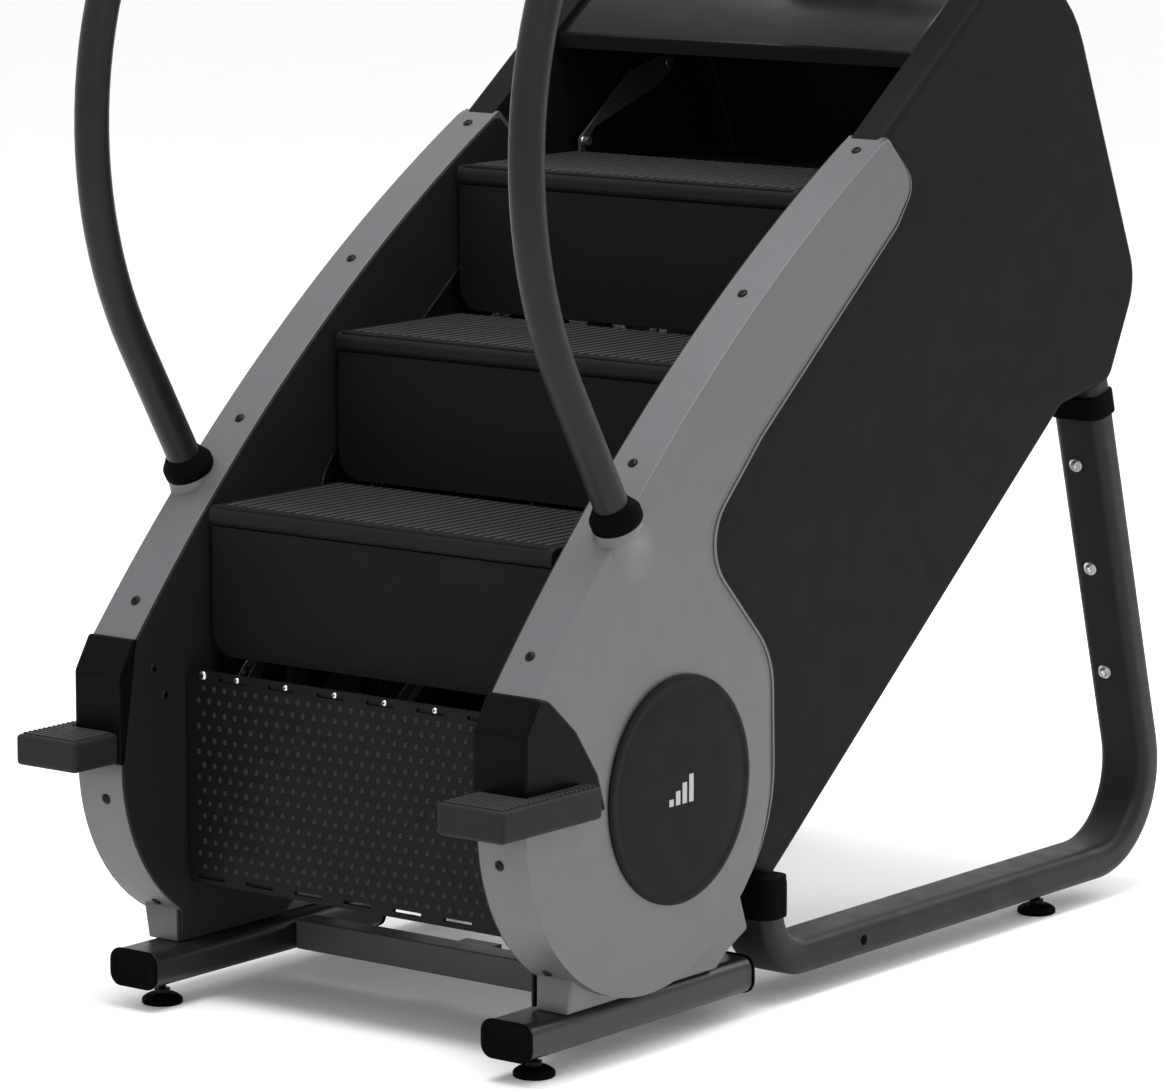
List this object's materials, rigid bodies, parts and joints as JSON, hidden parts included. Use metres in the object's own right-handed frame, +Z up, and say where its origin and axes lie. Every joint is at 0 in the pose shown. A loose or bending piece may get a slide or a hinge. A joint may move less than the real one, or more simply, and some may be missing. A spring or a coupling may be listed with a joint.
{
  "type": "stair climber",
  "caption": "Gym stair climber: revolving steps between silver side casings, dark rear shroud, foot pegs, bent-tube handrails, rear leg loops and a console on a mast.",
  "frame": {"origin": "on the floor, under the middle of the overall box", "axes": "+X to the user's right as they climb, +Y from the front, where the user gets on, to the back, +Z up"},
  "size_m": [0.806, 1.586, 2.0553],
  "materials": {
    "silver_casing": "metallic silver paint, satin",
    "black_casing": "fine textured black",
    "guard": "black with rows of small raised dots",
    "hub": "satin charcoal",
    "grey_paint": "charcoal powder coat",
    "rubber": "matt black",
    "peg_plastic": "satin charcoal",
    "zinc": "bright zinc plate",
    "black_screw": "black oxide",
    "frame_paint": "dark grey powder coat",
    "steel": "oiled steel",
    "tread": "dark grey, ribbed",
    "riser": "matt black",
    "grey_plastic": "satin grey",
    "black_plastic": "matt black",
    "screen_glass": "glossy black screen",
    "stop_red": "glossy red",
    "rail_paint": "grey textured coat",
    "grip_metal": "satin stainless"
  },
  "bodies": {
    "frame": {"left_side_casing": "silver_casing", "right_side_casing": "silver_casing", "left_rear_casing": "black_casing", "right_rear_casing": "black_casing", "top_cover": "black_casing", "rear_cover": "black_casing", "under_cover": "black_casing", "inner_skirts": "black_casing", "front_guard": "guard", "hub_covers": "hub", "foot_pegs": "peg_plastic", "corner_plates": "black_casing", "front_runners": "grey_paint", "runner_caps": "rubber", "base_crossbar": "grey_paint", "left_rear_leg": "grey_paint", "right_rear_leg": "grey_paint", "leg_sleeves": "rubber", "leg_bolts": "zinc", "casing_screws": "black_screw", "side_frames": "frame_paint", "frame_crossmembers": "frame_paint", "roller_tracks": "frame_paint", "shaft_bearings": "steel", "step_chains": "steel", "step_link": "steel", "drive_belt": "rubber", "generator": "frame_paint", "control_box": "grey_plastic", "power_inlet": "black_plastic", "left_handrail": "rail_paint", "right_handrail": "rail_paint", "rail_collars": "rubber", "heart_rate_grips": "grip_metal", "console_mast": "black_casing", "console_housing": "grey_plastic", "console_screen": "screen_glass", "console_keypad": "black_plastic"},
    "flight": {"tread_2": "tread", "riser_2": "riser", "tread_3": "tread", "riser_3": "riser", "step_axles": "steel"},
    "first_step": {"tread_1": "tread", "riser_1": "riser"},
    "lower_turn": {"lower_turn_step": "tread"},
    "return_run": {"return_steps": "tread"},
    "lower_drive": {"lower_shaft": "steel", "lower_sprockets": "steel"},
    "upper_drive": {"upper_shaft": "steel", "upper_sprockets": "steel", "drive_pulley": "steel", "upper_turn_step": "tread"},
    "generator_rotor": {"generator_pulley": "steel"},
    "foot_fl": {"front_left_foot": "rubber"},
    "foot_fr": {"front_right_foot": "rubber"},
    "foot_rl": {"rear_left_foot": "rubber"},
    "foot_rr": {"rear_right_foot": "rubber"},
    "stop_key": {"stop_button": "stop_red"},
    "level_key": {"level_rocker": "grey_plastic"}
  },
  "joints": [
    {"name": "flight_slide", "type": "slide", "parent": "frame", "child": "flight", "axis": [0, -0.7868, -0.6173], "range_m": [0, 0.04]},
    {"name": "first_step_slide", "type": "slide", "parent": "frame", "child": "first_step", "axis": [0, 0, -1], "range_m": [0, 0.026]},
    {"name": "lower_turn_slide", "type": "slide", "parent": "frame", "child": "lower_turn", "axis": [0, 0, -1], "range_m": [0, 0.04]},
    {"name": "return_slide", "type": "slide", "parent": "frame", "child": "return_run", "axis": [0, 0.7868, 0.6173], "range_m": [0, 0.04]},
    {"name": "lower_shaft_turn", "type": "hinge", "parent": "frame", "child": "lower_drive", "pos_m": [0, -0.392, 0.337], "axis": [1, 0, 0], "range_deg": [0, 16.98]},
    {"name": "upper_shaft_turn", "type": "hinge", "parent": "frame", "child": "upper_drive", "pos_m": [0, 0.31032, 0.88801], "axis": [1, 0, 0], "range_deg": [0, 16.98]},
    {"name": "generator_turn", "type": "hinge", "parent": "frame", "child": "generator_rotor", "pos_m": [0, 0.03496, 0.67197], "axis": [1, 0, 0], "range_deg": [0, 62.25]},
    {"name": "stop_press", "type": "slide", "parent": "frame", "child": "stop_key", "axis": [0, 0.9521, -0.3057], "range_m": [0, 0.004], "stiffness_N_per_m": 1200},
    {"name": "level_rock", "type": "hinge", "parent": "frame", "child": "level_key", "pos_m": [-0.15, 0.16481, 1.83305], "axis": [1, 0, 0], "range_deg": [-6, 6], "stiffness_Nm_per_rad": 2},
    {"name": "level_foot_fl", "type": "slide", "parent": "frame", "child": "foot_fl", "axis": [0, 0, -1], "range_m": [0, 0.012]},
    {"name": "level_foot_fr", "type": "slide", "parent": "frame", "child": "foot_fr", "axis": [0, 0, -1], "range_m": [0, 0.012]},
    {"name": "level_foot_rl", "type": "slide", "parent": "frame", "child": "foot_rl", "axis": [0, 0, -1], "range_m": [0, 0.012]},
    {"name": "level_foot_rr", "type": "slide", "parent": "frame", "child": "foot_rr", "axis": [0, 0, -1], "range_m": [0, 0.012]}
  ],
  "couplings": [
    {"joint": "first_step_slide", "follows": "flight_slide", "ratio": 0.65},
    {"joint": "lower_turn_slide", "follows": "flight_slide", "ratio": 1},
    {"joint": "return_slide", "follows": "flight_slide", "ratio": 1},
    {"joint": "lower_shaft_turn", "follows": "flight_slide", "rad_per_m": 7.4074},
    {"joint": "upper_shaft_turn", "follows": "flight_slide", "rad_per_m": 7.4074},
    {"joint": "generator_turn", "follows": "flight_slide", "rad_per_m": 27.16}
  ]
}
